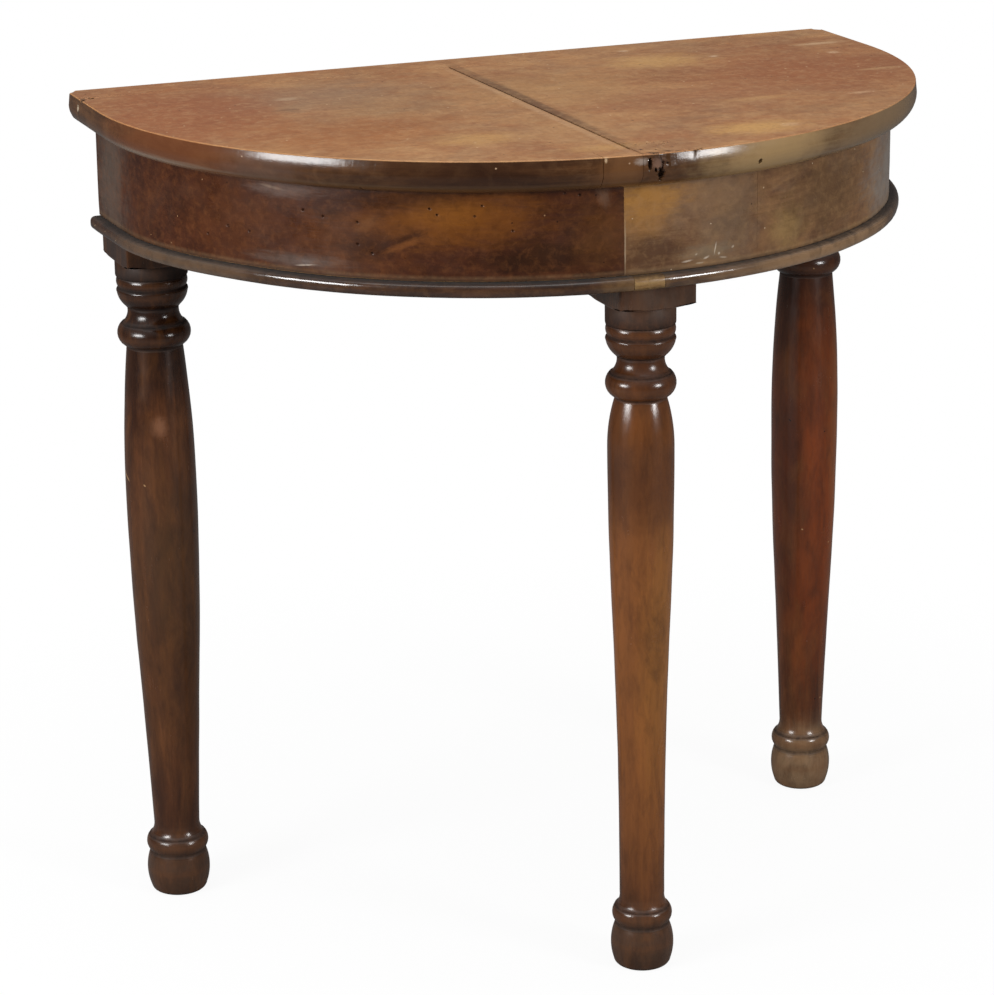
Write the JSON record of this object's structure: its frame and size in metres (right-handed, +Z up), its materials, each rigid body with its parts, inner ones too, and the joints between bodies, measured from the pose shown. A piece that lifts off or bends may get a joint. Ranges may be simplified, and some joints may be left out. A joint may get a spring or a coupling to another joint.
{
  "type": "demilune table",
  "caption": "Small D-shaped side table that stands against a wall, with a bowed veneered apron, a half-round bead and turned legs on ball feet.",
  "frame": {"origin": "on the floor, below the middle of the table's bounding box", "axes": "+X along the straight back edge, to the right seen from the front; +Y to the back; +Z up"},
  "size_m": [0.782, 0.499, 0.78],
  "materials": {
    "top_walnut": "worn shellac over walnut",
    "dark_veneer": "polished walnut veneer",
    "light_veneer": "polished walnut veneer",
    "bead_walnut": "polished walnut",
    "light_bead": "polished pale wood",
    "leg_walnut": "polished walnut",
    "secondary_wood": "unfinished softwood",
    "screw_steel": "dull steel"
  },
  "bodies": {
    "root": {"back_rail": "secondary_wood", "bead_left": "bead_walnut", "bead_patch": "light_bead", "bead_right": "bead_walnut", "centre_bearer": "secondary_wood", "core_lower_1": "secondary_wood", "core_lower_2": "secondary_wood", "core_lower_3": "secondary_wood", "core_lower_4": "secondary_wood", "core_lower_5": "secondary_wood", "core_lower_left_end": "secondary_wood", "core_lower_right_end": "secondary_wood", "core_middle_1": "secondary_wood", "core_middle_2": "secondary_wood", "core_middle_3": "secondary_wood", "core_middle_4": "secondary_wood", "core_middle_left_end": "secondary_wood", "core_middle_right_end": "secondary_wood", "core_upper_1": "secondary_wood", "core_upper_2": "secondary_wood", "core_upper_3": "secondary_wood", "core_upper_4": "secondary_wood", "core_upper_5": "secondary_wood", "core_upper_left_end": "secondary_wood", "core_upper_right_end": "secondary_wood", "front_leg": "leg_walnut", "glue_block_left_1": "secondary_wood", "glue_block_left_2": "secondary_wood", "glue_block_left_3": "secondary_wood", "glue_block_right_1": "secondary_wood", "glue_block_right_2": "secondary_wood", "glue_block_right_3": "secondary_wood", "left_leg": "leg_walnut", "left_screws": "screw_steel", "rail_dowels": "secondary_wood", "right_leg": "leg_walnut", "right_screws": "screw_steel", "top_back_strip": "top_walnut", "top_edge_patch": "top_walnut", "top_left_board": "top_walnut", "top_right_board": "top_walnut", "veneer_front": "light_veneer", "veneer_left": "dark_veneer", "veneer_right": "light_veneer"}
  },
  "joints": []
}
